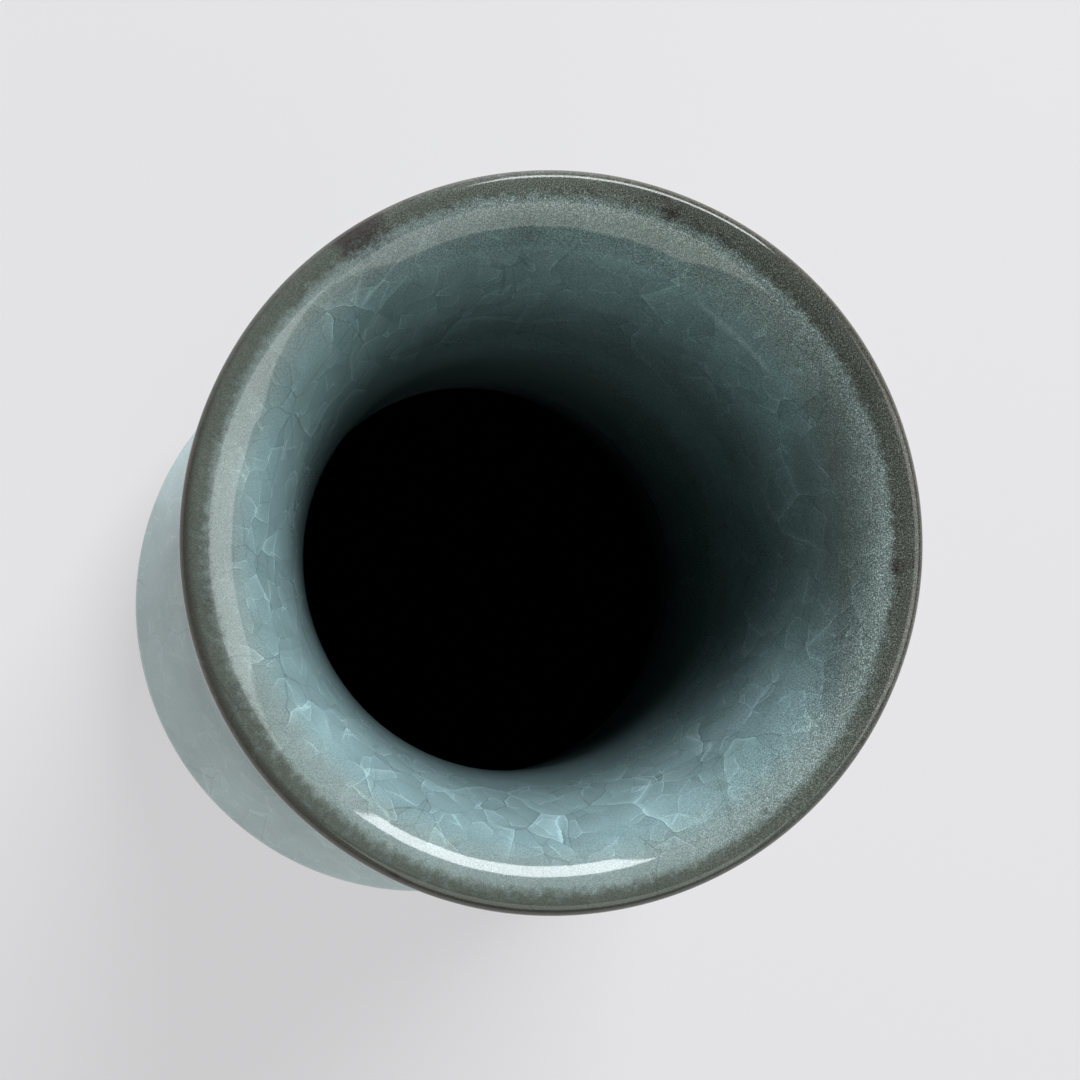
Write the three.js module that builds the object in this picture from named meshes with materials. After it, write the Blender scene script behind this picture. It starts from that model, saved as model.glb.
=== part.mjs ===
// A waisted stoneware brush pot: three clay pieces luted together under five coats of glaze.
//
// Millimetres, +Z up. The pot stands on the plane z = 0 with its axis on the Z axis, and the origin
// is the centre of its foot. Every piece is turned about the axis, as it was on the wheel.
// The glazed skin is one line in the (radius, height) plane. It runs up the outside, over the lip,
// down the inside and across the floor to the axis, with the clay always on its left. Each coat is
// a stretch of that line made one glaze thickness deep, and the clay lies behind it.
import * as THREE from "three";

const { degToRad, lerp, smoothstep } = THREE.MathUtils;

// Driving dimensions of the glazed skin
const height = 148; // from the foot to the crest of the lip
const mouthRadius = 52.6; // widest point of the lip
const crestRadius = 50.5; // where the flare levels out onto the crest
const waistRadius = 39.5; // narrowest point of the outside
const waistHeight = 90;
const neckRadius = 31.8; // narrowest point of the inside
const neckTop = 104; // the mouth's flare starts here
const neckBottom = 80; // the well widens below this
const wellRadius = 39.6; // widest point of the well
const wellHeight = 21; // height of that widest point
const floorRadius = 31; // flat part of the floor
const floorHeight = 11;
const toeRadius = 52; // widest point of the spreading foot
const toeHeight = 13.5;

// Rounded edges
const lipRound = 1.8;
const lipLean = degToRad(52); // the flare's lean where it meets the underside of the lip
const toeRound = 3.2;
const toeLean = degToRad(27); // the wall's lean where it meets the toe
const toeTuck = degToRad(66); // how far the toe turns under
const tuckRun = 2.4; // straight run from the toe down to the glaze line

// Clay, glaze and joints
const glaze = 0.9; // thickness of a wall coat
const baseCoat = 0.7; // thickness of the coat inside the foot
const bond = 0.05; // boundary layer between two pieces that are fused or luted together
const jointHeight = 6; // underside of the wall and of the floor disc
const flange = 2; // thickness of the rebate that the wall sits on
const flangeRadius = 37;
const footOuter = 46.4;
const footInner = 40.2;
const footChamfer = 0.9;
const footTaper = 0.5; // the foot ring draws in by this on both faces towards the ground

// Smoothness: flat facets around the axis, and along each curve of the skin
const turns = 40;
const wallSteps = 5; // from the toe to the waist
const rimSteps = 7; // from the waist to the lip
const rimCrowding = 0.55; // the flare curves most near the lip
const lipSteps = 5;
const toeSteps = 3;
const flareSteps = 9;
const wellSteps = 5;
const cornerSteps = 3;

const clay = new THREE.MeshStandardMaterial({ color: "#6a584a", roughness: 0.9 });
const footClay = new THREE.MeshStandardMaterial({ color: "#4b382d", roughness: 0.85 });
const celadon = new THREE.MeshStandardMaterial({ color: "#9dbcbc", roughness: 0.2 });
const lipBrown = new THREE.MeshStandardMaterial({ color: "#5d6058", roughness: 0.22 });
const wellDark = new THREE.MeshStandardMaterial({ color: "#2b3634", roughness: 0.3 });

// Points along part of an ellipse, from one angle to another, both ends included.
function ellipsePoints([r, z], [radiusR, radiusZ], from, to, steps) {
  return new THREE.EllipseCurve(r, z, radiusR, radiusZ, from, to, to < from).getPoints(steps);
}

// Points of the line r = radiusAt(z), from one height to another, both ends included. A crowding
// below 1 draws the points together towards the far end.
function linePoints(radiusAt, from, to, steps, crowding = 1) {
  return Array.from({ length: steps + 1 }, (_, step) => {
    const z = lerp(from, to, (step / steps) ** crowding);
    return new THREE.Vector2(radiusAt(z), z);
  });
}

// The rolled edge, from the underside of the lip to the crest.
function lipLine() {
  const centre = [mouthRadius - lipRound, height - lipRound];
  const roll = ellipsePoints(centre, [lipRound, lipRound], -lipLean, Math.PI / 2, lipSteps);
  return [...roll, new THREE.Vector2(crestRadius, height)];
}

// Outside of the pot, from the glaze line under the toe to the underside of the lip.
function outsideLine() {
  const centre = [toeRadius - toeRound, toeHeight];
  const toe = ellipsePoints(centre, [toeRound, toeRound], -toeTuck, toeLean, toeSteps);
  const glazeLine = toe[0].clone();
  glazeLine.x -= tuckRun * Math.sin(toeTuck);
  glazeLine.y -= tuckRun * Math.cos(toeTuck);
  const [lipStart] = lipLine();
  const toeEnd = toe.at(-1);
  const rise = lipStart.y - waistHeight;
  const fall = waistHeight - toeEnd.y;
  const mouthFlare = lipStart.x - waistRadius;
  const footFlare = toeEnd.x - waistRadius;
  // These powers make the wall meet the lip and the toe without a kink.
  const mouthPower = (Math.tan(lipLean) * rise) / mouthFlare;
  const footPower = (Math.tan(toeLean) * fall) / footFlare;
  const radiusAt = (z) => {
    const up = Math.max(0, z - waistHeight) / rise;
    const down = Math.max(0, waistHeight - z) / fall;
    return waistRadius + mouthFlare * up ** mouthPower + footFlare * down ** footPower;
  };
  const wall = linePoints(radiusAt, toeEnd.y, waistHeight, wallSteps);
  const rim = linePoints(radiusAt, waistHeight, lipStart.y, rimSteps, rimCrowding);
  return [glazeLine, ...toe, ...wall.slice(1), ...rim.slice(1)];
}

// The mouth, from the crest down a quarter of an ellipse to the neck, and down the neck.
function mouthLine() {
  const radii = [crestRadius - neckRadius, height - neckTop];
  const flare = ellipsePoints([crestRadius, neckTop], radii, Math.PI / 2, Math.PI, flareSteps);
  return [...flare, new THREE.Vector2(neckRadius, neckBottom)];
}

// The well, from the neck down a widening wall and round a corner to the middle of the floor.
function wellLine() {
  const radiusAt = (z) =>
    lerp(wellRadius, neckRadius, smoothstep(z, wellHeight, neckBottom));
  const wall = linePoints(radiusAt, neckBottom, wellHeight, wellSteps);
  const radii = [wellRadius - floorRadius, wellHeight - floorHeight];
  const corner = ellipsePoints([floorRadius, wellHeight], radii, 0, -Math.PI / 2, cornerSteps);
  return [...wall, ...corner.slice(1), new THREE.Vector2(0, floorHeight)];
}

// A line moved to its own left by a distance: from the skin, that is into the clay.
function offsetLine(line, distance) {
  return line.map((point, i) => {
    const before = line[Math.max(i - 1, 0)];
    const after = line[Math.min(i + 1, line.length - 1)];
    const along = after.clone().sub(before).setLength(distance);
    return new THREE.Vector2(point.x - along.y, point.y + along.x);
  });
}

const outside = outsideLine();
const lip = lipLine();
const mouth = mouthLine();
const well = wellLine();
const skin = [...outside, ...lip.slice(1), ...mouth.slice(1), ...well.slice(1)];
const glazeBack = offsetLine(skin, glaze);
const clayFace = offsetLine(skin, glaze + bond);

// An outline turned about the Z axis. It runs anticlockwise, and either it starts and ends on the
// axis or it is closed here.
function turned(name, outline, material) {
  const [first] = outline;
  const closed = first.x === 0 ? outline : [...outline, first.clone()];
  const geometry = new THREE.LatheGeometry(closed, turns);
  geometry.rotateX(Math.PI / 2);
  const mesh = new THREE.Mesh(geometry, material);
  mesh.name = name;
  return mesh;
}

// A ring or a disc with the given (radius, height) corners.
function turnedCorners(name, corners, material) {
  return turned(name, corners.map(([r, z]) => new THREE.Vector2(r, z)), material);
}

// The coat on one stretch of the skin. Its first edge stands off from the coat before it.
function coat(name, stretch, material) {
  const from = skin.findIndex((point) => point.equals(stretch[0]));
  const front = skin.slice(from, from + stretch.length).map((point) => point.clone());
  const back = glazeBack.slice(from, from + stretch.length).map((point) => point.clone());
  const standOff = front[1].clone().sub(front[0]).setLength(bond);
  front[0].add(standOff);
  back[0].add(standOff);
  return turned(name, [...back.reverse(), ...front], material);
}

// Clay wall, thrown in one piece, with a rebate in its foot for the floor disc.
function bodyWall() {
  const face = clayFace.slice(0, -1);
  const rebate = [
    [face.at(-1).x, jointHeight + flange + bond],
    [flangeRadius + bond, jointHeight + flange + bond],
    [flangeRadius + bond, jointHeight],
    [footOuter, jointHeight],
  ];
  return turnedCorners("body_wall", [...face.map(({ x, y }) => [x, y]), ...rebate], clay);
}

// Floor disc, luted into the rebate from below, its boss level with the clay of the well.
function floorDisc() {
  const boss = clayFace.at(-2).x - bond;
  const corners = [
    [0, jointHeight],
    [flangeRadius, jointHeight],
    [flangeRadius, jointHeight + flange],
    [boss, jointHeight + flange],
    [boss, clayFace.at(-1).y],
    [0, clayFace.at(-1).y],
  ];
  return turnedCorners("floor_disc", corners, clay);
}

// Foot ring, turned from bare clay, with both edges of its standing face chamfered.
function footRing() {
  const outer = footOuter - footTaper;
  const inner = footInner + footTaper;
  const corners = [
    [inner + footChamfer, 0],
    [outer - footChamfer, 0],
    [outer, footChamfer],
    [footOuter, jointHeight - bond],
    [footInner, jointHeight - bond],
    [inner, footChamfer],
  ];
  return turnedCorners("foot_ring", corners, footClay);
}

// Coat on the underside of the floor, inside the foot ring.
function baseGlaze() {
  const top = jointHeight - bond;
  const edge = footInner - bond;
  const corners = [
    [0, top - baseCoat],
    [edge, top - baseCoat],
    [edge, top],
    [0, top],
  ];
  return turnedCorners("base_glaze", corners, celadon);
}

const pot = new THREE.Group();
pot.add(
  bodyWall(),
  floorDisc(),
  footRing(),
  coat("outer_glaze", outside, celadon),
  coat("lip_glaze", lip, lipBrown),
  coat("mouth_glaze", mouth, celadon),
  coat("well_glaze", well, wellDark),
  baseGlaze(),
);

export default pot;
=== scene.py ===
"""A waisted celadon brush pot on a pale sweep, looked into from above.

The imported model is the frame. Each of its nodes is turned again here on a finer wheel, with the same
driving sizes, and dressed as fired stoneware or glaze. Sizes are in millimetres until a mesh is made.
World +X is the right of the view and +Y is its top.
"""

import logging
import math
from dataclasses import dataclass, field
from enum import Enum
from typing import NamedTuple

import bpy
from mathutils import Matrix, Vector


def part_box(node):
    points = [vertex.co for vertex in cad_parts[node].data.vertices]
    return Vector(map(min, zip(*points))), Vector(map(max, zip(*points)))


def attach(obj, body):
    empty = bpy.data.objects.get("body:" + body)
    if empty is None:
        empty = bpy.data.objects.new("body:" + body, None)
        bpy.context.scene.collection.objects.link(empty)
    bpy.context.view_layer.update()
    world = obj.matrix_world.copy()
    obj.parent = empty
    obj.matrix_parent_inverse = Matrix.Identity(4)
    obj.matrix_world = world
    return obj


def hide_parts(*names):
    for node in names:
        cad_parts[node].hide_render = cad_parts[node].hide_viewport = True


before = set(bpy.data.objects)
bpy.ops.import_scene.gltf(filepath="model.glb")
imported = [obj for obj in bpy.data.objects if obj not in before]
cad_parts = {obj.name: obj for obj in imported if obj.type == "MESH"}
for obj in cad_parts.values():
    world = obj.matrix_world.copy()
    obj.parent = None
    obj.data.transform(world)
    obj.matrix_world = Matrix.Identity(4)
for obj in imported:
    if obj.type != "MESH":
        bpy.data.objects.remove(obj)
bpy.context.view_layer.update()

log = logging.getLogger("brush_pot")
MM = 0.001

MATH = "ShaderNodeMath"
VECTOR = "ShaderNodeVectorMath"
EASE = "ShaderNodeMapRange"
NOISE = "ShaderNodeTexNoise"
CELLS = "ShaderNodeTexVoronoi"
MIX = "ShaderNodeMix"
JOIN = "ShaderNodeCombineXYZ"
SPLIT = "ShaderNodeSeparateXYZ"
SMOOTH = {"interpolation_type": "SMOOTHSTEP"}
PLUS = {"operation": "ADD"}
MINUS = {"operation": "SUBTRACT"}
TIMES = {"operation": "MULTIPLY"}
TIMES_PLUS = {"operation": "MULTIPLY_ADD"}

Point = tuple[float, float]
Pair = tuple[float, float]
Line = list[Point]
Tree = bpy.types.NodeTree
Socket = bpy.types.NodeSocket
Triple = tuple[float, float, float]
Piece = tuple[bpy.types.Object, str, str]


class Coat(Enum):
    """A glaze coat on the skin: the name of its piece, its CAD node and its material slot."""

    OUTSIDE = ("celadon_outside", "outer_glaze", "celadon")
    LIP = ("brown_lip", "lip_glaze", "lip_brown")
    MOUTH = ("celadon_mouth", "mouth_glaze", "celadon")
    WELL = ("well_lining_in_painted_shade", "well_glaze", "well_dark")


class Fade(NamedTuple):
    """How a value goes from one level to another between two limits."""

    start: float
    end: float
    before: float = 0.0
    after: float = 1.0

    def moved(self, by: float) -> "Fade":
        """The same change with its limits moved."""
        return self._replace(start=self.start + by, end=self.end + by)


def linear(hex_colour: str) -> tuple[float, float, float, float]:
    """Turns an sRGB hex colour into linear light.

    Args:
        hex_colour: Six hex digits after a hash sign.

    Returns:
        Linear red, green, blue and an alpha of 1.
    """
    channels = [int(hex_colour[i : i + 2], 16) / 255 for i in (1, 3, 5)]
    lit = [c / 12.92 if c <= 0.04045 else ((c + 0.055) / 1.055) ** 2.4 for c in channels]
    return (lit[0], lit[1], lit[2], 1.0)


def add(tree: Tree, kind: str, inputs: tuple | dict = (), **settings) -> bpy.types.NodeOutputs:
    """Adds a node with its settings and links.

    Args:
        tree: The tree that gets the node.
        kind: The node's type.
        inputs: What feeds its inputs, in order or by name: a value, a colour in hex or a socket.
        **settings: Properties of the node.

    Returns:
        The node's outputs.
    """
    made = tree.nodes.new(kind)
    for name, value in settings.items():
        setattr(made, name, value)
    for key, value in inputs.items() if isinstance(inputs, dict) else enumerate(inputs):
        if isinstance(value, Socket):
            tree.links.new(value, made.inputs[key])
        elif isinstance(value, str) and value.startswith("#"):
            made.inputs[key].default_value = linear(value)
        else:
            made.inputs[key].default_value = value
    return made.outputs


def new_material(name: str) -> bpy.types.Material:
    """Makes a material with an empty tree."""
    material = bpy.data.materials.new(name)
    material.use_nodes = True
    material.node_tree.nodes.clear()
    return material


# ---------------------------------------------------------------- outlines


def arc(centre: Point, radii: Point, start: float, end: float, steps: int) -> Line:
    """Points along part of an ellipse.

    Args:
        centre: Radius and height of its centre.
        radii: Half its width and half its height.
        start: First angle in radians.
        end: Last angle in radians.
        steps: Number of stretches.

    Returns:
        The points, both ends included.
    """
    angles = [start + (end - start) * i / steps for i in range(steps + 1)]
    return [(centre[0] + radii[0] * math.cos(a), centre[1] + radii[1] * math.sin(a)) for a in angles]


def straight(start: Point, end: Point, steps: int) -> Line:
    """Points along a straight line.

    Args:
        start: Its first end, which isn't one of the points.
        end: Its last end, which is.
        steps: Number of stretches.

    Returns:
        The points after the first end.
    """
    (r0, z0), (r1, z1) = start, end
    return [(r0 + (r1 - r0) * i / steps, z0 + (z1 - z0) * i / steps) for i in range(1, steps + 1)]


def offset(line: Line, distance: float) -> Line:
    """Moves a line to its own left, which on the glazed skin is into the clay.

    Args:
        line: The points.
        distance: How far, in the line's units.

    Returns:
        The moved points, one for each.
    """
    moved = []
    for i, (r, z) in enumerate(line):
        before, after = line[max(i - 1, 0)], line[min(i + 1, len(line) - 1)]
        dr, dz = after[0] - before[0], after[1] - before[1]
        length = math.hypot(dr, dz)
        moved.append((max(0.0, r - dz / length * distance), z + dr / length * distance))
    return moved


def rounded(corners: list[Triple], steps: int = 5) -> Line:
    """A closed outline with its corners rounded off.

    Args:
        corners: Radius, height and rounding of each corner, anticlockwise.
        steps: Stretches in each rounding.

    Returns:
        The outline's points. A corner with no rounding stays one point.
    """
    outline = []
    for i, (r, z, rounding) in enumerate(corners):
        here = Vector((r, z))
        if rounding == 0:
            outline.append((r, z))
            continue
        back = (Vector(corners[i - 1][:2]) - here).normalized()
        ahead = (Vector(corners[(i + 1) % len(corners)][:2]) - here).normalized()
        for step in range(steps + 1):
            t = step / steps
            point = here + back * rounding * (1 - t) ** 2 + ahead * rounding * t**2
            outline.append((point.x, point.y))
    return outline


@dataclass
class PotShape:
    """The glazed skin as one line: up the outside, over the lip and down the inside to the axis.

    Its sizes are the CAD model's own, in mm. The mouth and the height come from the frame.
    """

    mouth_radius: float
    height: float
    lip_round: float = 1.8
    lip_lean: float = math.radians(52)
    lip_width: float = 2.1  # from the widest point to the crest
    waist_radius: float = 39.5
    waist_height: float = 90.0
    neck_radius: float = 31.8
    neck_drop: float = 44.0
    neck_bottom: float = 80.0
    well_radius: float = 39.6
    well_height: float = 21.0
    floor_radius: float = 31.0
    floor_height: float = 11.0
    toe_radius: float = 52.0
    toe_height: float = 13.5
    toe_round: float = 3.2
    toe_lean: float = math.radians(27)
    toe_tuck: float = math.radians(66)
    tuck_run: float = 2.4
    glaze: float = 0.9
    bond: float = 0.05
    roll_steps: int = 26
    toe_steps: int = 20
    wall_steps: int = 44  # from the toe to the waist
    rim_steps: int = 54  # from the waist to the lip
    rim_crowding: float = 0.6  # the flare curves most near the lip
    flare_steps: int = 72
    neck_steps: int = 20
    well_steps: int = 45
    corner_steps: int = 18
    flat_steps: int = 12
    short_steps: int = 4  # on the crest of the lip and under the toe

    @property
    def crest_radius(self) -> float:
        """Where the flare of the mouth levels out onto the lip."""
        return self.mouth_radius - self.lip_width

    @property
    def roll_centre(self) -> Point:
        """The centre of the rolled edge."""
        return (self.mouth_radius - self.lip_round, self.height - self.lip_round)

    def lip(self) -> Line:
        """The rolled edge, from the underside of the lip to the crest."""
        radii = (self.lip_round, self.lip_round)
        roll = arc(self.roll_centre, radii, -self.lip_lean, math.pi / 2, self.roll_steps)
        return roll + straight(roll[-1], (self.crest_radius, self.height), self.short_steps)

    def outside(self) -> Line:
        """The outside, from the glaze line under the toe to the underside of the lip."""
        centre = (self.toe_radius - self.toe_round, self.toe_height)
        radii = (self.toe_round, self.toe_round)
        toe = arc(centre, radii, -self.toe_tuck, self.toe_lean, self.toe_steps)
        glaze_line = (
            toe[0][0] - self.tuck_run * math.sin(self.toe_tuck),
            toe[0][1] - self.tuck_run * math.cos(self.toe_tuck),
        )
        tuck = [glaze_line] + straight(glaze_line, toe[0], self.short_steps)
        toe_end, lip_start = toe[-1], self.lip()[0]
        rise, fall = lip_start[1] - self.waist_height, self.waist_height - toe_end[1]
        mouth_flare, foot_flare = lip_start[0] - self.waist_radius, toe_end[0] - self.waist_radius
        # These powers make the wall meet the lip and the toe without a kink.
        mouth_power = math.tan(self.lip_lean) * rise / mouth_flare
        foot_power = math.tan(self.toe_lean) * fall / foot_flare
        line = tuck + toe[1:]
        for i in range(1, self.wall_steps + 1):
            t = 1 - i / self.wall_steps
            line.append((self.waist_radius + foot_flare * t**foot_power, self.waist_height - fall * t))
        for i in range(1, self.rim_steps + 1):
            t = (i / self.rim_steps) ** self.rim_crowding
            line.append((self.waist_radius + mouth_flare * t**mouth_power, self.waist_height + rise * t))
        return line

    def mouth(self) -> Line:
        """The mouth, from the crest down a quarter of an ellipse and down the neck."""
        neck_top = self.height - self.neck_drop
        radii = (self.crest_radius - self.neck_radius, self.neck_drop)
        flare = arc((self.crest_radius, neck_top), radii, math.pi / 2, math.pi, self.flare_steps)
        return flare + straight(flare[-1], (self.neck_radius, self.neck_bottom), self.neck_steps)

    def well(self) -> Line:
        """The well, from the neck down its widening wall and round to the middle of the floor."""
        wall = []
        for i in range(self.well_steps + 1):
            t = i / self.well_steps
            radius = self.neck_radius + (self.well_radius - self.neck_radius) * t * t * (3 - 2 * t)
            wall.append((radius, self.neck_bottom - (self.neck_bottom - self.well_height) * t))
        radii = (self.well_radius - self.floor_radius, self.well_height - self.floor_height)
        centre = (self.floor_radius, self.well_height)
        corner = arc(centre, radii, 0, -math.pi / 2, self.corner_steps)
        return wall + corner[1:] + straight(corner[-1], (0.0, self.floor_height), self.flat_steps)

    def stretches(self) -> dict[Coat, Line]:
        """The stretch of skin that each coat covers, in their order along it."""
        lines = (self.outside(), self.lip(), self.mouth(), self.well())
        return dict(zip(Coat, lines))

    def skin(self) -> Line:
        """The whole skin, with the points where two stretches meet counted once."""
        first, *others = self.stretches().values()
        return first + [point for line in others for point in line[1:]]


# ---------------------------------------------------------------- the wheel


@dataclass
class Wheel:
    """Turns an outline about the Z axis with Geometry Nodes, as clay is thrown: not quite true.

    The outline is a mesh whose points hold radius in X and height in Z. The tree lays a grid over the
    outline and the turn, and moves each of its points to the outline's radius and height.
    """

    turns: int = 360
    oval: float = 0.008  # how far the mouth is out of round, as a share of its radius
    oval_angle: float = math.radians(27)  # direction of the long axis
    uneven: float = 0.44  # how far the wall wanders from true, mm
    wander: float = 0.9  # how many times it does so, in half a turn
    rise_weight: float = 22.0  # a metre up changes that wandering as much as this many radians round
    trimmed: Fade = Fade(16.0 * MM, 48.0 * MM)  # heights: the foot was trimmed true, the wall wasn't
    still_axis: Fade = Fade(0.0, 20.0 * MM)  # radii: the poles stay where they are
    ring_pitch: float = 8.5  # throwing rings, one for each turn of the wheel, mm
    smoothed: Fade = Fade(58.0 * MM, 78.0 * MM, 1.0, 0.0)  # heights between which they end
    crisp: float = math.radians(42)  # edges that turn more than this stay sharp
    weld: float = 0.002  # points nearer than this become one, mm
    tree: Tree = field(init=False)

    def __post_init__(self) -> None:
        """Builds the tree that every piece is turned with."""
        self.tree = self._build()

    def _build(self) -> Tree:
        """Builds the node tree.

        Returns:
            A geometry tree with the outline as its input and the turned piece as its output.
        """
        tree = bpy.data.node_groups.new("turned_on_the_wheel", "GeometryNodeTree")
        for label, kind in (
            ("Outline", "Geometry"),
            ("Turns", "Int"),
            ("Closed", "Int"),
            ("Oval", "Float"),
            ("Uneven", "Float"),
            ("Rings", "Float"),
            ("Material", "Material"),
        ):
            tree.interface.new_socket(label, in_out="INPUT", socket_type="NodeSocket" + kind)
        tree.interface.new_socket("Turned", in_out="OUTPUT", socket_type="NodeSocketGeometry")
        given = add(tree, "NodeGroupInput")

        # A grid with a row of points for each point of the outline and a step for each of the turn.
        count = add(tree, "GeometryNodeAttributeDomainSize", (given["Outline"],))["Point Count"]
        across = add(tree, MATH, (count, given["Closed"]), **PLUS)[0]
        around = add(tree, MATH, (given["Turns"], 1.0), **PLUS)[0]
        grid = add(tree, "GeometryNodeMeshGrid", (1.0, 1.0, across, around))["Mesh"]
        centred = add(tree, "GeometryNodeInputPosition")[0]
        share = add(tree, VECTOR, (centred, (0.5, 0.5, 0.0)), **PLUS)[0]
        share = add(tree, SPLIT, (share,))
        steps = add(tree, MATH, (across, 1.0), **MINUS)[0]
        index = add(tree, MATH, (share["X"], steps), **TIMES)[0]
        index = add(tree, MATH, (index,), operation="ROUND")[0]
        index = add(tree, MATH, (index, count), operation="MODULO")[0]
        turn = add(tree, MATH, (share["Y"], 2 * math.pi), **TIMES)[0]
        cosine = add(tree, MATH, (turn,), operation="COSINE")[0]
        sine = add(tree, MATH, (turn,), operation="SINE")[0]

        # The outline's own radius and height, and where the pot may stray from them.
        on_outline = add(tree, "GeometryNodeInputPosition")[0]
        profile = add(
            tree,
            "GeometryNodeSampleIndex",
            {"Geometry": given["Outline"], "Value": on_outline, "Index": index},
            data_type="FLOAT_VECTOR",
        )[0]
        profile = add(tree, SPLIT, (profile,))
        radius, height = profile["X"], profile["Z"]
        free = add(tree, EASE, (height, *self.trimmed), **SMOOTH)[0]
        # Nothing moves on the axis, so the poles stay closed.
        free_of_axis = add(tree, EASE, (radius, *self.still_axis), **SMOOTH)[0]

        # Out of round: the radius swells along one axis.
        twice = add(tree, MATH, (turn, 2.0, -2 * self.oval_angle), **TIMES_PLUS)[0]
        swell = add(tree, MATH, (twice,), operation="COSINE")[0]
        swell = add(tree, MATH, (swell, given["Oval"]), **TIMES)[0]
        swell = add(tree, MATH, (swell, free, 1.0), **TIMES_PLUS)[0]
        radius = add(tree, MATH, (radius, swell), **TIMES)[0]

        # Wandering: one slow field moves every piece alike, so the coats stay on the clay.
        around_at = add(tree, JOIN, (cosine, sine, height))[0]
        around_at = add(tree, VECTOR, (around_at, (1.0, 1.0, self.rise_weight)), **TIMES)[0]
        stray = add(tree, NOISE, {"Vector": around_at, "Scale": self.wander, "Detail": 1.0})["Color"]
        stray = add(tree, VECTOR, (stray, (0.5, 0.5, 0.5)), **MINUS)[0]
        reach = add(tree, MATH, (given["Uneven"], free), **TIMES)[0]
        stray = add(tree, VECTOR, {0: stray, "Scale": reach}, operation="SCALE")[0]
        stray = add(tree, SPLIT, (stray,))

        # Throwing rings: one shallow groove that climbs the wall as the potter's hand did.
        pitch = 2 * math.pi / (self.ring_pitch * MM)
        climb = add(tree, MATH, (height, pitch, turn), **TIMES_PLUS)[0]
        groove = add(tree, MATH, (climb,), operation="SINE")[0]
        depth = add(tree, MATH, (given["Rings"], free), **TIMES)[0]
        fade = add(tree, EASE, (height, *self.smoothed), **SMOOTH)[0]
        depth = add(tree, MATH, (depth, fade), **TIMES)[0]

        push = add(tree, MATH, (groove, depth, stray["X"]), **TIMES_PLUS)[0]
        radius = add(tree, MATH, (push, free_of_axis, radius), **TIMES_PLUS)[0]
        height = add(tree, MATH, (stray["Y"], free_of_axis, height), **TIMES_PLUS)[0]
        x = add(tree, MATH, (radius, cosine), **TIMES)[0]
        y = add(tree, MATH, (radius, sine), **TIMES)[0]
        where = add(tree, JOIN, (x, y, height))[0]
        moved = add(tree, "GeometryNodeSetPosition", {"Geometry": grid, "Position": where})[0]
        joined = {"Geometry": moved, "Distance": self.weld * MM}
        closed = add(tree, "GeometryNodeMergeByDistance", joined)[0]
        # The grid winds the faces inwards, so they are turned over.
        outward = add(tree, "GeometryNodeFlipFaces", (closed,))[0]

        # Faces are smooth, and edges that turn sharply stay crisp.
        smooth = add(tree, "GeometryNodeSetShadeSmooth", {"Geometry": outward, "Shade Smooth": True})[0]
        angle = add(tree, "GeometryNodeInputMeshEdgeAngle")["Unsigned Angle"]
        gentle = add(tree, MATH, (angle, self.crisp), operation="LESS_THAN")[0]
        edges = {"Geometry": smooth, "Shade Smooth": gentle}
        crisp = add(tree, "GeometryNodeSetShadeSmooth", edges, domain="EDGE")[0]
        real = add(tree, "GeometryNodeRealizeInstances", (crisp,))[0]
        finish = {"Geometry": real, "Material": given["Material"]}
        dressed = add(tree, "GeometryNodeSetMaterial", finish)[0]
        add(tree, "NodeGroupOutput", (dressed,))
        return tree

    def turn(
        self,
        name: str,
        outline: Line,
        material: bpy.types.Material,
        true: bool = False,
        rings: float = 0.0,
    ) -> bpy.types.Object:
        """Turns one piece.

        Args:
            name: The piece's name.
            outline: Its outline, anticlockwise, in mm. It starts and ends on the axis or is closed here.
            material: What it is dressed in.
            true: Trimmed true, so neither out of round nor uneven.
            rings: Depth of its throwing rings, mm.

        Returns:
            The piece, as a plain mesh with its place in its vertices.
        """
        on_axis = outline[0][0] == 0 and outline[-1][0] == 0
        mesh = bpy.data.meshes.new(name + "_outline")
        mesh.from_pydata([(r * MM, 0.0, z * MM) for r, z in outline], [], [])
        piece = bpy.data.objects.new(name, mesh)
        bpy.context.scene.collection.objects.link(piece)
        modifier = piece.modifiers.new("wheel", "NODES")
        modifier.node_group = self.tree
        values = {
            "Turns": self.turns,
            "Closed": 0 if on_axis else 1,
            "Oval": 0.0 if true else self.oval,
            "Uneven": 0.0 if true else self.uneven * MM,
            "Rings": rings * MM,
            "Material": material,
        }
        sockets = {item.name: item.identifier for item in self.tree.interface.items_tree}
        for label, value in values.items():
            modifier[sockets[label]] = value
        ready = piece.evaluated_get(bpy.context.evaluated_depsgraph_get())
        turned = bpy.data.meshes.new_from_object(ready)
        turned.name = name
        piece.modifiers.remove(modifier)
        piece.data = turned
        bpy.data.meshes.remove(mesh)
        return piece


# ---------------------------------------------------------------- finishes


@dataclass
class Spot:
    """Where a point of glaze is, as sockets in mm."""

    place: Socket
    radius: Socket
    height: Socket
    from_roll: Socket  # distance from the centre line of the rolled edge
    hot: Socket  # how far towards the side that was hottest in the kiln
    inside: Socket  # 1 on the inside of the pot, 0 on the outside
    depth: Socket  # painted shade with thinning glaze, from 0 at the lip to 1 in the well


class Net(NamedTuple):
    """A net of cracks that splits the glaze into flakes."""

    width: float  # of a flake, mm
    lean_shading: float  # painted shading: how much lighter a leaning flake is painted across it
    glow: float  # painted highlight: how brightly the fracture is painted under a flake's raised side
    line: float  # how bright its hair is: painted highlight on the raised side, painted shadow on the other


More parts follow.
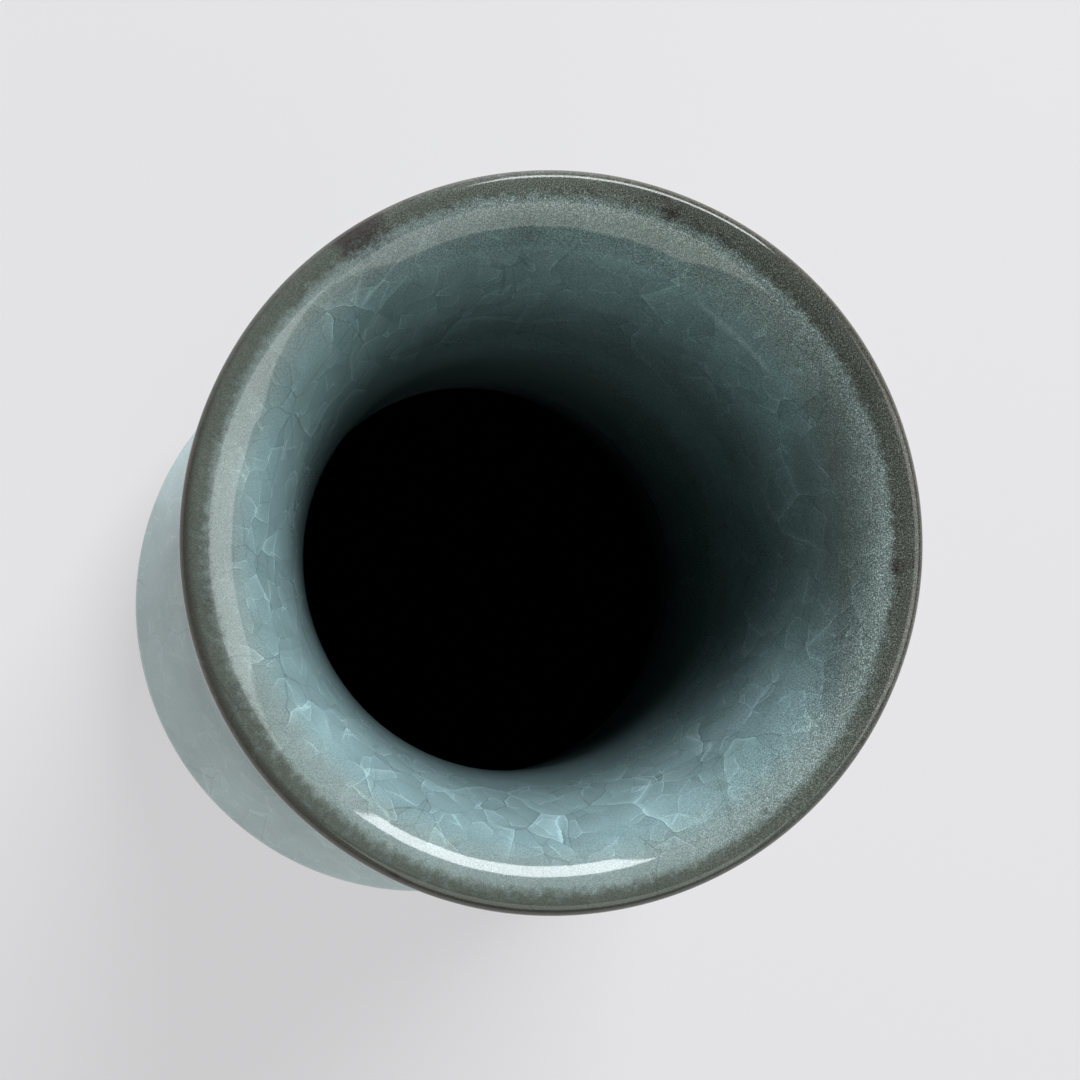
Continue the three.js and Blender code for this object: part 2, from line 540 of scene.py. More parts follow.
@dataclass(frozen=True)
class Celadon:
    """Crackled celadon: a thick, bubble-filled, iron-tinted glaze over dark stoneware.

    It is glossy and grainy with fine bubbles. Cracks split it into curved flakes, each with a painted
    highlight along one side and painted shading across it. It runs thin and brown over the lip, gathers
    paler at the foot, where painted light from the pale floor adds to it, and goes olive and darker on
    the right, partly as painted shade. It lies thin over dark slip down the well, where painted shade
    darkens it. Sizes are in mm.
    """

    pool: str = "#768f92"  # thick glaze in the flare, blue-green
    shoulder: str = "#7c8b89"  # the same glaze on the lip's shoulder, greyer
    smoked_and_shaded: str = "#3f4642"  # olive and darker on the right: partly smoke, partly painted shade
    toe: str = "#bed2d5"  # thickest glaze gathered above the foot, paler, plus painted floor light
    edge: str = "#565c56"  # thin glaze on the rolled edge, olive brown
    rim: str = "#47433b"  # thinnest glaze on the very edge, brown
    char: str = "#2e2c25"  # the edge where the kiln was hottest, nearly black
    iron: str = "#33282b"  # iron bleeding through in spots, purple brown
    slip_and_shade: str = "#070c0b"  # the well: thin coat over iron slip, plus painted shade
    nets: tuple[Net, ...] = (Net(9.0, 0.3, 0.25, 0.42), Net(3.6, 0.24, 0.19, 0.32))
    crackle_off_lip: Fade = Fade(2.0, 7.5, 0.12, 1.0)  # by the distance from the roll
    crackle_down: Fade = Fade(-34.0, -9.0, 0.3, 1.0)  # by the height, from the crest
    bends: tuple[Pair, ...] = ((14.0, 5.0), (3.0, 0.7))  # width and reach of each bend in the nets
    raised: Fade = Fade(-0.02, 0.12)  # the slants that count as a flake's raised side
    glint_width: float = 0.15  # as a share of the flake's
    whole: Fade = Fade(0.4, 0.58)  # cracks come and go with a noise that passes these levels
    tilt: float = 0.09  # a flake's relief, for each mm of its width and unit of its slant
    hair: float = 0.14  # width of a crack
    hair_core: float = 0.028  # width of its fully dark or bright middle
    pane: float = 13.0  # width of the panes between the few long cracks that cross the lip
    pane_tone: float = -0.16  # what such a crack adds to the tone
    pane_whole: Fade = Fade(0.42, 0.55)
    cloud: float = 16.0  # width of the slow clouds
    clouding: Fade = Fade(0.0, 1.0, 0.75, 1.25)  # their tone
    least_tone: float = 0.3  # no crack is darker than this
    bubble: float = 0.19  # width of the bubbles
    grain: float = 2.4  # how strongly they show
    grain_by_heat: Fade = Fade(-25.0, 40.0, 0.42, 1.65)
    grain_off_lip: Fade = Fade(2.0, 14.0, 1.3, 0.45)
    prick: float = 0.025  # how deep they are, as a share of the tallest relief
    hot_side: Triple = (0.87, 0.5, 0.0)  # the way to the side that was hottest in the kiln
    smoky_shaded_side: Triple = (1.0, 0.0, 0.0)  # the way to the smoky side, which is also painted shaded
    smoke_and_shade: Fade = Fade(33.0, 43.0)  # by the distance towards that side
    smoke_and_shade_off_lip: Fade = Fade(3.0, 9.0, 0.2, 0.75)
    thick: Fade = Fade(3.5, 9.0)  # the glaze thickens behind the roll
    gathered_and_painted_bounce: Fade = Fade(34.0, -2.0)  # by the height, from the toe
    run: float = 1.3  # width of the runs that break up the brown's border
    run_reach: float = 2.0  # how far they push it
    cool_border: Fade = Fade(-45.0, 20.0, 0.58, 0.08)  # the cooler side's brown is this much narrower
    brown: Fade = Fade(3.5, 2.3)  # by the border's distance from the roll
    near_edge: Fade = Fade(3.6, 2.7)
    rim_runs: float = 1.6  # how far the runs push the very edge's colour
    rim_band: Fade = Fade(-0.6, 0.6, 0.0, 0.85)  # by the radius, from the mouth's
    scorched: Fade = Fade(15.0, 50.0, 0.0, 0.5)  # by the distance towards the hot side
    spot_spacing: float = 11.0
    spotted: Fade = Fade(0.59, 0.68)  # spots lie where a noise passes these levels
    spots_off_lip: Fade = Fade(4.4, 2.8, 0.0, 0.8)
    blush: Triple = (-29.2, 43.0, 146.8)  # middle of a patch of iron on the edge
    blush_runs: float = 7.0  # how far the runs push its outline
    blush_out: Fade = Fade(5.4, 2.6, 0.0, 0.65)  # by the distance from its middle
    neck_shade_and_thinning: Fade = Fade(-2.0, -26.0, 0.0, 0.6)  # by the height, from the crest
    well_shade_and_thinning: Fade = Fade(-46.0, -112.0, 0.0, 0.4)
    roughness: float = 0.04  # glassy and well melted
    dry: float = 0.55  # roughness of the thin coat in the well
    shine: float = 0.5  # of the thick coat
    ior: float = 1.6
    proud: float = 0.1  # how far the tallest relief stands up

    def material(self, shape: PotShape) -> bpy.types.Material:
        """Builds the material.

        Args:
            shape: The pot, whose lip and neck place the thin glaze and the dark glaze with its painted
                shade.

        Returns:
            The material.
        """
        made = new_material("crackled_celadon_glaze")
        tree = made.node_tree
        spot = self._spot(tree, shape)
        # The crackle is fine on the lip and melts away down the neck.
        shown = add(tree, EASE, (spot.from_roll, *self.crackle_off_lip), **SMOOTH)[0]
        clear = add(tree, EASE, (spot.height, *self.crackle_down.moved(shape.height)), **SMOOTH)[0]
        shown = add(tree, MATH, (shown, clear), **TIMES)[0]
        crackle = self._crackle(tree, spot)
        tone, relief = (add(tree, MATH, (c, shown), **TIMES)[0] for c in crackle)
        long_cracks = self._long_cracks(tree, spot)
        tone = add(tree, MATH, (long_cracks, self.pane_tone, tone), **TIMES_PLUS)[0]

        # Slow clouds, then the bubbles: a sandy grain, strongest on the lip and on the hot side.
        clouds = {"Vector": spot.place, "Scale": 1 / self.cloud, "Detail": 3.0}
        clouds = add(tree, NOISE, clouds)["Fac"]
        clouds = add(tree, EASE, (clouds, *self.clouding))[0]
        tone = add(tree, MATH, (tone, clouds), **PLUS)[0]
        tone = add(tree, MATH, (tone, self.least_tone), operation="MAXIMUM")[0]
        fine = {"Vector": spot.place, "Scale": 1 / self.bubble, "Detail": 1.0, "Roughness": 0.7}
        sand = add(tree, NOISE, fine)["Fac"]
        hotter = add(tree, EASE, (spot.hot, *self.grain_by_heat), **SMOOTH)[0]
        on_lip = add(tree, EASE, (spot.from_roll, *self.grain_off_lip), **SMOOTH)[0]
        strength = add(tree, MATH, (hotter, on_lip), **TIMES)[0]
        strength = add(tree, MATH, (strength, self.grain), **TIMES)[0]
        grain = add(tree, MATH, (sand, 0.5), **MINUS)[0]
        grain = add(tree, MATH, (grain, strength), **TIMES)[0]
        grain = add(tree, MATH, (grain,), operation="EXPONENT")[0]
        tone = add(tree, MATH, (tone, grain), **TIMES)[0]

        colour = self._body_colour(tree, spot, shape)
        colour = self._edge_colour(tree, spot, shape, colour)
        # Painted shade: down the neck and well the glaze is painted towards the near-black slip colour.
        slip_and_shade = {"Factor": spot.depth, "A": colour, "B": self.slip_and_shade}
        colour = add(tree, MIX, slip_and_shade, data_type="RGBA")["Result"]
        colour = add(tree, VECTOR, {0: colour, "Scale": tone}, operation="SCALE")[0]

        # The flakes lean a few hundredths of a millimetre, and the bubbles prick the surface.
        relief = add(tree, MATH, (sand, self.prick, relief), **TIMES_PLUS)[0]
        bump = {"Strength": 1.0, "Distance": self.proud * MM, "Height": relief}
        rough = (spot.depth, 0.5, 1.0, self.roughness, self.dry)
        shine = (spot.depth, 0.4, 1.0, self.shine, 0.0)
        surface = {
            "Base Color": colour,
            "Roughness": add(tree, EASE, rough, **SMOOTH)[0],
            "Specular IOR Level": add(tree, EASE, shine, **SMOOTH)[0],
            "IOR": self.ior,
            "Normal": add(tree, "ShaderNodeBump", bump)["Normal"],
        }
        shader = add(tree, "ShaderNodeBsdfPrincipled", surface)[0]
        add(tree, "ShaderNodeOutputMaterial", (shader,))
        return made

    def _spot(self, tree: Tree, shape: PotShape) -> Spot:
        """Works out where a point is.

        Args:
            tree: The material's tree.
            shape: The pot.

        Returns:
            The point's place on the pot.
        """
        coords = add(tree, "ShaderNodeTexCoord")["Object"]
        place = add(tree, VECTOR, {0: coords, "Scale": 1 / MM}, operation="SCALE")[0]
        parts = add(tree, SPLIT, (place,))
        height = parts["Z"]
        flat = add(tree, JOIN, (parts["X"], parts["Y"]))[0]
        radius = add(tree, VECTOR, (flat,), operation="LENGTH")["Value"]
        section = add(tree, JOIN, (radius, height))[0]
        roll = (*shape.roll_centre, 0.0)
        from_roll = add(tree, VECTOR, (section, roll), operation="DISTANCE")["Value"]
        hot = add(tree, VECTOR, (place, self.hot_side), operation="DOT_PRODUCT")["Value"]
        # This limit runs up through the clay, from the well past the neck to the lip.
        at_well, at_waist, at_lip = 41.5, 36.0, shape.mouth_radius - 4.0
        wall = Fade(30.0, shape.neck_bottom + 20, at_well, at_waist)
        flare = Fade(-23.0, 0.0, 0.0, at_lip - at_waist).moved(shape.height)
        limit = add(tree, EASE, (height, *wall), **SMOOTH)[0]
        widened = add(tree, EASE, (height, *flare), **SMOOTH)[0]
        limit = add(tree, MATH, (limit, widened), **PLUS)[0]
        inside = add(tree, MATH, (radius, limit), operation="LESS_THAN")[0]
        # Painted shade and a thinning coat darken the glaze quickly down the neck and slowly down the
        # well.
        upper = add(tree, EASE, (height, *self.neck_shade_and_thinning.moved(shape.height)), **SMOOTH)[0]
        lower = add(tree, EASE, (height, *self.well_shade_and_thinning.moved(shape.height)), **SMOOTH)[0]
        depth = add(tree, MATH, (upper, lower), **PLUS)[0]
        depth = add(tree, MATH, (depth, inside), **TIMES)[0]
        return Spot(place, radius, height, from_roll, hot, inside, depth)

    def _body_colour(self, tree: Tree, spot: Spot, shape: PotShape) -> Socket:
        """Colours the thick glaze: greyer on the shoulder, olive and darker on the right, paler at the
        foot.

        The darker right is partly painted shade, and the paler foot partly painted light from the pale
        floor.

        Args:
            tree: The material's tree.
            spot: Where the point is.
            shape: The pot.

        Returns:
            The colour.
        """
        thick = add(tree, EASE, (spot.from_roll, *self.thick), **SMOOTH)[0]
        # Painted shade with smoke: the right side is painted darker and olive, least on the lip.
        smoke_and_shade = add(tree, VECTOR, (spot.place, self.smoky_shaded_side), operation="DOT_PRODUCT")["Value"]
        smoke_and_shade = add(tree, EASE, (smoke_and_shade, *self.smoke_and_shade), **SMOOTH)[0]
        off_lip = add(tree, EASE, (spot.from_roll, *self.smoke_and_shade_off_lip), **SMOOTH)[0]
        smoke_and_shade = add(tree, MATH, (smoke_and_shade, off_lip), **TIMES)[0]
        # Painted light from the pale floor, with gathered glaze: the outside is painted paler towards the
        # foot.
        low = add(tree, EASE, (spot.height, *self.gathered_and_painted_bounce.moved(shape.toe_height)), **SMOOTH)[0]
        outside = add(tree, MATH, (1.0, spot.inside), **MINUS)[0]
        low = add(tree, MATH, (low, outside), **TIMES)[0]
        colour = self.shoulder
        for share, paint in ((thick, self.pool), (smoke_and_shade, self.smoked_and_shaded), (low, self.toe)):
            layer = {"Factor": share, "A": colour, "B": paint}
            colour = add(tree, MIX, layer, data_type="RGBA")["Result"]
        return colour

    def _edge_colour(self, tree: Tree, spot: Spot, shape: PotShape, colour: Socket) -> Socket:
        """Colours the edge, where the glaze has run thin and the iron of the clay shows.

        Args:
            tree: The material's tree.
            spot: Where the point is.
            shape: The pot.
            colour: The thick glaze.

        Returns:
            The colour, with the edge laid over the thick glaze.
        """
        # The brown fades into the celadon through uneven runs, and reaches further on the hot side.
        runs = {"Vector": spot.place, "Scale": 1 / self.run, "Detail": 4.0, "Roughness": 0.7}
        runs = add(tree, NOISE, runs)["Fac"]
        uneven = add(tree, MATH, (runs, 0.5), **MINUS)[0]
        cooler = add(tree, EASE, (spot.hot, *self.cool_border))[0]
        border = add(tree, MATH, (cooler, spot.from_roll), **PLUS)[0]
        border = add(tree, MATH, (uneven, self.run_reach, border), **TIMES_PLUS)[0]
        thin = add(tree, EASE, (border, *self.brown), **SMOOTH)[0]
        near = add(tree, EASE, (border, *self.near_edge), **SMOOTH)[0]
        outer = add(tree, MATH, (runs, self.rim_runs, spot.radius), **TIMES_PLUS)[0]
        outer = add(tree, EASE, (outer, *self.rim_band.moved(shape.mouth_radius)), **SMOOTH)[0]
        outer = add(tree, MATH, (outer, near), **TIMES)[0]
        scorch = add(tree, EASE, (spot.hot, *self.scorched), **SMOOTH)[0]
        scorch = add(tree, MATH, (scorch, near), **TIMES)[0]

        # Iron bleeds through in spots and in one larger blush.
        spots = {"Vector": spot.place, "Scale": 1 / self.spot_spacing, "Detail": 6.0, "Roughness": 0.72}
        spots = add(tree, NOISE, spots)["Fac"]
        spots = add(tree, EASE, (spots, *self.spotted), **SMOOTH)[0]
        beside = add(tree, EASE, (border, *self.spots_off_lip), **SMOOTH)[0]
        spots = add(tree, MATH, (spots, beside), **TIMES)[0]
        blush = add(tree, VECTOR, (spot.place, self.blush), operation="DISTANCE")["Value"]
        blush = add(tree, MATH, (uneven, self.blush_runs, blush), **TIMES_PLUS)[0]
        blush = add(tree, EASE, (blush, *self.blush_out), **SMOOTH)[0]
        iron = add(tree, MATH, (spots, blush), operation="MAXIMUM")[0]

        for share, paint in ((thin, self.edge), (outer, self.rim), (iron, self.iron), (scorch, self.char)):
            layer = {"Factor": share, "A": colour, "B": paint}
            colour = add(tree, MIX, layer, data_type="RGBA")["Result"]
        return colour

    def _long_cracks(self, tree: Tree, spot: Spot) -> Socket:
        """Draws the few long cracks that run straight on over the lip.

        Args:
            tree: The material's tree.
            spot: Where the point is.

        Returns:
            1 on a crack and 0 off it.
        """
        pane = {"Vector": spot.place, "Scale": 1 / self.pane}
        far = add(tree, CELLS, pane, feature="DISTANCE_TO_EDGE")["Distance"]
        far = add(tree, MATH, (far, self.pane), **TIMES)[0]
        crack = add(tree, EASE, (far, self.hair, self.hair_core), **SMOOTH)[0]
        broken = add(tree, NOISE, {**pane, "Detail": 1.0})["Fac"]
        broken = add(tree, EASE, (broken, *self.pane_whole), **SMOOTH)[0]
        return add(tree, MATH, (crack, broken), **TIMES)[0]

    def _crackle(self, tree: Tree, spot: Spot) -> tuple[Socket, Socket]:
        """Lays a large and a small net of cracks over each other.

        Args:
            tree: The material's tree.
            spot: Where the point is.

        Returns:
            How much lighter the cracks and flakes are painted than the glaze, as painted highlights,
            shadows and shading, and how far they stand up.
        """
        # Noise at two widths bends the nets, so that no crack runs quite straight.
        bent = spot.place
        for width, reach in self.bends:
            sway = add(tree, NOISE, {"Vector": spot.place, "Scale": 1 / width})["Color"]
            sway = add(tree, VECTOR, (sway, (0.5, 0.5, 0.5)), **MINUS)[0]
            bent = add(tree, VECTOR, (sway, (reach,) * 3, bent), **TIMES_PLUS)[0]
        tone, relief = 0.0, 0.0
        for width, lean_shading, glow, line in self.nets:
            # Each flake leans its own way: the slant goes from about -0.25 to 0.25 across it.
            # Painted shading follows the slant.
            cell = add(tree, CELLS, {"Vector": bent, "Scale": 1 / width})
            reach = add(tree, VECTOR, (bent, cell["Position"]), **MINUS)[0]
            lean = add(tree, VECTOR, (cell["Color"], (0.5, 0.5, 0.5)), **MINUS)[0]
            slant = add(tree, VECTOR, (reach, lean), operation="DOT_PRODUCT")["Value"]
            slant = add(tree, MATH, (slant, 1 / width), **TIMES)[0]
            border = {"Vector": bent, "Scale": 1 / width}
            border = add(tree, CELLS, border, feature="DISTANCE_TO_EDGE")["Distance"]
            border = add(tree, MATH, (border, width), **TIMES)[0]
            # Painted light on the fracture: a painted highlight and a bright hair under the raised side of
            # each flake, and a dark hair as painted shadow on the other side. Both come and go.
            raised = add(tree, EASE, (slant, *self.raised), **SMOOTH)[0]
            shine = add(tree, EASE, (border, self.glint_width * width, 0.0), **SMOOTH)[0]
            shine = add(tree, MATH, (shine, raised), **TIMES)[0]
            shine = add(tree, MATH, (shine, 2.0), operation="POWER")[0]
            side = add(tree, MATH, (raised, 1.5, -0.5), **TIMES_PLUS)[0]
            hair = add(tree, EASE, (border, self.hair, self.hair_core), **SMOOTH)[0]
            hair = add(tree, MATH, (hair, side), **TIMES)[0]
            broken = add(tree, NOISE, {"Vector": spot.place, "Scale": 1 / (1.3 * width)})["Fac"]
            broken = add(tree, EASE, (broken, *self.whole), **SMOOTH)[0]
            layer = add(tree, MATH, (shine, glow), **TIMES)[0]
            layer = add(tree, MATH, (hair, line, layer), **TIMES_PLUS)[0]
            layer = add(tree, MATH, (layer, broken), **TIMES)[0]
            # Painted shading: each flake is painted lighter along its slant.
            layer = add(tree, MATH, (slant, lean_shading, layer), **TIMES_PLUS)[0]
            tone = add(tree, MATH, (layer, tone), **PLUS)[0]
            relief = add(tree, MATH, (slant, self.tilt * width, relief), **TIMES_PLUS)[0]
        return tone, relief


@dataclass(frozen=True)
class Stoneware:
    """Bare fired stoneware: dry, iron-brown and gritty, darker and redder where the flame licked it."""

    clay: str = "#4a382d"
    flamed: str = "#2a1d17"
    sand: str = "#7a6654"
    burn: float = 12.0  # width of the burnt patches, mm
    burnt: Fade = Fade(0.35, 0.65)  # they lie where a noise passes these levels
    grit: float = 0.5  # width of the grains, mm
    sandy: Fade = Fade(0.6, 0.72)
    roughness: float = 0.82
    proud: float = 0.12  # how far the grit stands up, mm

    def material(self) -> bpy.types.Material:
        """Builds the material."""
        made = new_material("bare_iron_stoneware")
        tree = made.node_tree
        coords = add(tree, "ShaderNodeTexCoord")["Object"]
        place = add(tree, VECTOR, {0: coords, "Scale": 1 / MM}, operation="SCALE")[0]
        burn = {"Vector": place, "Scale": 1 / self.burn, "Detail": 5.0}
        burn = add(tree, NOISE, burn)["Fac"]
        burn = add(tree, EASE, (burn, *self.burnt))[0]
        grit = {"Vector": place, "Scale": 1 / self.grit, "Detail": 3.0, "Roughness": 0.7}
        grit = add(tree, NOISE, grit)["Fac"]
        sandy = add(tree, EASE, (grit, *self.sandy))[0]
        colour = self.clay
        for share, paint in ((burn, self.flamed), (sandy, self.sand)):
            layer = {"Factor": share, "A": colour, "B": paint}
            colour = add(tree, MIX, layer, data_type="RGBA")["Result"]
        bump = {"Strength": 0.8, "Distance": self.proud * MM, "Height": grit}
        bump = add(tree, "ShaderNodeBump", bump)["Normal"]
        surface = {"Base Color": colour, "Roughness": self.roughness, "Normal": bump}
        shader = add(tree, "ShaderNodeBsdfPrincipled", surface)[0]
        add(tree, "ShaderNodeOutputMaterial", (shader,))
        return made


# ---------------------------------------------------------------- the pot


@dataclass
class ClayBody:
    """The three clay pieces: the thrown wall, the disc luted into it and the turned foot ring.

    Their sizes are the CAD model's own, in mm.
    """

    shape: PotShape
    wheel: Wheel
    joint_height: float = 6.0
    flange: float = 2.0
    flange_radius: float = 37.0
    foot_outer: float = 46.4
    foot_inner: float = 40.2
    foot_chamfer: float = 0.9
    foot_taper: float = 0.5
    soft_edge: float = 0.3  # how far a trimmed edge is wiped round

    def wall(self) -> Line:
        """The outline of the thrown wall, with a rebate in its foot for the floor disc."""
        bond = self.shape.bond
        face = offset(self.shape.skin(), self.shape.glaze + bond)
        boss = self.shape.floor_radius
        floor_starts = len(face) - self.shape.flat_steps - 1
        last = next(i for i, (r, _) in enumerate(face) if i >= floor_starts and r <= boss + 0.01)
        # It is hidden by the glaze, so every other point is enough.
        kept = [point for i, point in enumerate(face[: last + 1]) if i % 2 == 0 or i == last]
        rebate = self.joint_height + self.flange + bond
        return kept + [
            (kept[-1][0], rebate),
            (self.flange_radius + bond, rebate),
            (self.flange_radius + bond, self.joint_height),
            (self.foot_outer - self.soft_edge, self.joint_height),
            (self.foot_outer, self.joint_height + self.soft_edge),
        ]

    def disc(self) -> Line:
        """The outline of the floor disc."""
        shoulder = self.joint_height + self.flange
        boss = self.shape.floor_radius - self.shape.bond
        top = self.shape.floor_height - self.shape.glaze - self.shape.bond
        return [
            (0.0, self.joint_height),
            (self.flange_radius, self.joint_height),
            (self.flange_radius, shoulder),
            (boss, shoulder),
            (boss, top),
            (0.0, top),
        ]

    def ring(self) -> Line:
        """The outline of the foot ring, rounded where it stands."""
        top = self.joint_height - self.shape.bond
        return rounded(
            [
                (self.foot_inner + self.foot_taper, 0.0, self.foot_chamfer),
                (self.foot_outer - self.foot_taper, 0.0, self.foot_chamfer),
                (self.foot_outer, top, self.soft_edge),
                (self.foot_inner, top, 0.0),
            ]
        )

    def build(self, clay: bpy.types.Material) -> list[Piece]:
        """Turns and dresses the pieces.

        Args:
            clay: The bare stoneware.

        Returns:
            Each piece with the CAD node it stands for and its material slot.
        """
        turn = self.wheel.turn
        return [
            (turn("thrown_wall", self.wall(), clay), "body_wall", "body_clay"),
            (turn("luted_floor", self.disc(), clay, true=True), "floor_disc", "body_clay"),
            (turn("turned_foot_ring", self.ring(), clay, true=True), "foot_ring", "foot_clay"),
        ]


@dataclass
class GlazeSkin:
    """The five coats: outside, lip, mouth, well and base. Sizes are in mm."""

    shape: PotShape
    wheel: Wheel
    base_radius: float = 40.15
    base_top: float = 5.95
    base_coat: float = 0.7
    base_sag: float = 0.2  # the base coat is thinner in the middle by this
    sag_shares: Pair = (0.7, 0.95)  # it thins between these shares of its radius
    ring_depth: float = 0.14
    back_step: int = 4  # the hidden back of a coat has one point for this many in front
    bead_steps: int = 10

    def coat(self, coat: Coat) -> Line:
        """The closed outline of a coat: its hidden back, and the skin in front of it."""
        line = self.shape.skin()
        front = self.shape.stretches()[coat]
        start = line.index(front[0])
        back = offset(line, self.shape.glaze)[start : start + len(front)]
        kept = [p for i, p in enumerate(back) if i % self.back_step == 0 or i == len(back) - 1]
        kept.reverse()
        if coat is Coat.OUTSIDE:
            # The end at the foot draws up into a rounded bead.
            (r0, z0), (r1, z1) = back[0], front[0]
            half = self.shape.glaze / 2
            centre = ((r0 + r1) / 2, (z0 + z1) / 2)
            angle = math.atan2(z0 - centre[1], r0 - centre[0])
            kept += arc(centre, (half, half), angle, angle + math.pi, self.bead_steps)[1:-1]
        return kept + front

    def base(self) -> Line:
        """The outline of the coat inside the foot ring."""
        bottom = self.base_top - self.base_coat
        return [
            (0.0, bottom + self.base_sag),
            (self.base_radius * self.sag_shares[0], bottom + self.base_sag),
            (self.base_radius * self.sag_shares[1], bottom),
            (self.base_radius, bottom),
            (self.base_radius, self.base_top),
            (0.0, self.base_top),
        ]

    def build(self, glaze: bpy.types.Material) -> list[Piece]:
        """Turns and dresses the coats.

        Args:
            glaze: The celadon.

        Returns:
            Each coat with the CAD node it stands for and its material slot.
        """
        made = []
        for coat in Coat:
            name, cad_node, slot = coat.value
            piece = self.wheel.turn(name, self.coat(coat), glaze, rings=self.ring_depth)
            made.append((piece, cad_node, slot))
        base = self.wheel.turn("base_coat", self.base(), glaze, true=True)
        made.append((base, "base_glaze", "celadon"))
        return made


# ---------------------------------------------------------------- the studio


def towards(azimuth: float, zenith: float) -> Vector:
    """The direction at an azimuth and an angle from straight up, both in degrees."""
    around, down = math.radians(azimuth), math.radians(zenith)
    return Vector((math.sin(down) * math.cos(around), math.sin(down) * math.sin(around), math.cos(down)))


@dataclass(frozen=True)
class Panel:
    """A flat soft light that faces the rim of the pot."""

    name: str
    azimuth: float  # degrees
    zenith: float  # degrees
    width: float  # metres
    height: float
    radiance: float
    colour: Triple = (1.0, 1.0, 1.0)
    lights: bool = True  # falls on matt surfaces
    shines: bool = True  # shows in glossy ones
    distance: float = 2.0

    def hang(self, aim: Vector) -> bpy.types.Object:
        """Hangs the light.

        Args:
            aim: The point that it faces.

        Returns:
            The light.
        """
        light = bpy.data.lights.new(self.name, "AREA")
        light.shape = "RECTANGLE"
        light.size, light.size_y = self.width, self.height
        light.energy = self.radiance * math.pi * self.width * self.height
        light.color = self.colour
        lamp = bpy.data.objects.new(self.name, light)
        away = towards(self.azimuth, self.zenith)
        lamp.location = aim + away * self.distance
        lamp.rotation_euler = away.to_track_quat("Z", "Y").to_euler()
        lamp.visible_diffuse, lamp.visible_glossy = self.lights, self.shines
        bpy.context.scene.collection.objects.link(lamp)
        return lamp


WINDOW = Panel("window_pane", 68.5, 53.5, 1.16, 0.64, 8.8, (0.94, 0.97, 1.0), lights=False)
DAYLIGHT = Panel("daylight", 66.0, 61.0, 1.5, 1.0, 16.4, (0.96, 0.975, 1.0), shines=False)
OPPOSITE_WALL = Panel("opposite_wall", 285.0, 46.0, 2.1, 1.35, 1.3, (0.97, 1.0, 0.93))
SIDE_WALL = Panel("side_wall", 4.0, 50.0, 1.3, 1.5, 1.7, (1.0, 0.99, 0.96), lights=False)


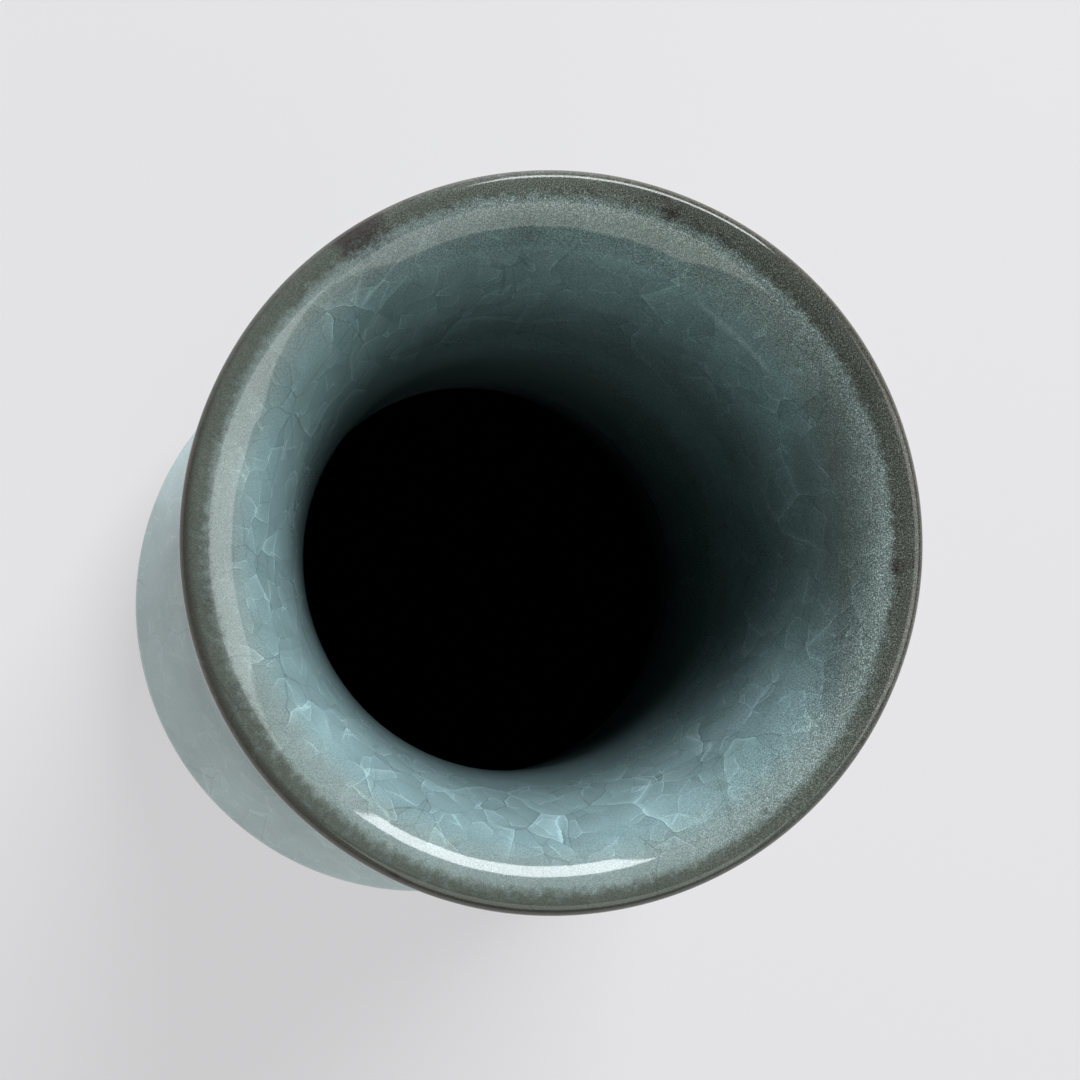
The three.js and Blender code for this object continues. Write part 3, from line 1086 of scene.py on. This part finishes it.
@dataclass
class Studio:
    """A pale sweep, a window beyond the pot, two paler walls, a dim ceiling and a camera."""

    rim: Vector
    panels: tuple[Panel, ...] = (WINDOW, DAYLIGHT, OPPOSITE_WALL, SIDE_WALL)
    sweep_radius: float = 6.0
    sweep_sides: int = 96
    sweep_colour: str = "#7e7e7e"
    sweep_light: str = "#fefcff"
    sweep_glow: float = 0.548
    room_colour: str = "#fafff4"
    backdrop: str = "#e6e7e9"  # what the camera sees beyond the sweep
    wall_light: float = 0.15
    ceiling_light: float = 0.04
    ceiling: Pair = (0.75, 0.97)  # the room darkens as directions rise between these
    low_light: float = 0.26  # the paler wall behind the camera
    low_wall: Pair = (217.0, 78.0)  # azimuth and zenith of its middle, degrees
    low_spread: Pair = (0.6, 0.97)  # how nearly a direction must point there to be lit
    aim: Vector = field(default_factory=lambda: Vector((-2.7, -0.2, 0.0)) * MM)
    camera_azimuth: float = 207.0  # degrees
    camera_tilt: float = 11.8  # degrees
    camera_distance: float = 0.4188
    lens: float = 100.0
    sensor: float = 36.0

    def sweep(self) -> None:
        """Makes the floor: matt and pale, lit a little from within so that shadows stay light."""
        mesh = bpy.data.meshes.new("pale_sweep")
        sides = range(self.sweep_sides)
        corners = [towards(360 * i / self.sweep_sides, 90) * self.sweep_radius for i in sides]
        mesh.from_pydata([(c.x, c.y, 0.0) for c in corners], [], [list(sides)])
        floor = bpy.data.objects.new("pale_sweep", mesh)
        bpy.context.scene.collection.objects.link(floor)
        made = new_material("pale_matt_sweep")
        tree = made.node_tree
        surface = {
            "Base Color": self.sweep_colour,
            "Roughness": 0.9,
            "Specular IOR Level": 0.0,
            "Emission Color": self.sweep_light,
            "Emission Strength": self.sweep_glow,
        }
        shader = add(tree, "ShaderNodeBsdfPrincipled", surface)[0]
        add(tree, "ShaderNodeOutputMaterial", (shader,))
        mesh.materials.append(made)

    def room(self) -> None:
        """Makes the room: dim, darkest overhead where the camera stands, paler low behind it."""
        world = bpy.data.worlds.new("dim_room")
        bpy.context.scene.world = world
        world.use_nodes = True
        tree = world.node_tree
        tree.nodes.clear()
        direction = add(tree, "ShaderNodeTexCoord")["Generated"]
        up = add(tree, SPLIT, (direction,))["Z"]
        wall = (up, *self.ceiling, self.wall_light, self.ceiling_light)
        wall = add(tree, EASE, wall, **SMOOTH)[0]
        facing = (direction, towards(*self.low_wall))
        facing = add(tree, VECTOR, facing, operation="DOT_PRODUCT")["Value"]
        glow = add(tree, EASE, (facing, *self.low_spread, 0.0, self.low_light), **SMOOTH)[0]
        strength = add(tree, MATH, (wall, glow), **PLUS)[0]
        room = add(tree, "ShaderNodeBackground", {"Color": self.room_colour, "Strength": strength})[0]
        plain = add(tree, "ShaderNodeBackground", {"Color": self.backdrop})[0]
        seen = add(tree, "ShaderNodeLightPath")["Is Camera Ray"]
        both = add(tree, "ShaderNodeMixShader", (seen, room, plain))[0]
        add(tree, "ShaderNodeOutputWorld", (both,))

    def camera(self) -> None:
        """Sets the camera almost straight above the mouth, leaning in from the lower left."""
        data = bpy.data.cameras.new("camera")
        data.lens, data.sensor_width = self.lens, self.sensor
        data.clip_start, data.clip_end = 0.01, 50.0
        camera = bpy.data.objects.new("camera", data)
        back = towards(self.camera_azimuth, self.camera_tilt)
        camera.location = self.rim + self.aim + back * self.camera_distance
        right = Vector((0.0, 1.0, 0.0)).cross(back).normalized()
        camera.rotation_euler = Matrix((right, back.cross(right), back)).transposed().to_euler()
        bpy.context.scene.collection.objects.link(camera)
        bpy.context.scene.camera = camera

    def light(self) -> None:
        """Hangs the panels round the rim."""
        for panel in self.panels:
            panel.hang(self.rim)


def main() -> None:
    """Builds the pot and the studio round it, and reports each piece."""
    logging.basicConfig(level=logging.INFO, format="%(name)s: %(message)s")
    scene = bpy.context.scene
    scene.view_settings.view_transform = "Standard"
    scene.view_settings.look = "None"

    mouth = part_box("lip_glaze")
    shape = PotShape(mouth_radius=mouth[1].x / MM, height=mouth[1].z / MM)
    wheel = Wheel()
    pieces = ClayBody(shape, wheel).build(Stoneware().material())
    pieces += GlazeSkin(shape, wheel).build(Celadon().material(shape))
    for piece, cad_node, slot in pieces:
        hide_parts(cad_node)
        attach(piece, "root")
        log.info("%s stands for %s, %d faces", piece.name, cad_node, len(piece.data.polygons))

    studio = Studio(rim=Vector((0.0, 0.0, (shape.height - shape.lip_round) * MM)))
    studio.sweep()
    studio.light()
    studio.room()
    studio.camera()


if __name__ == "__main__":
    main()
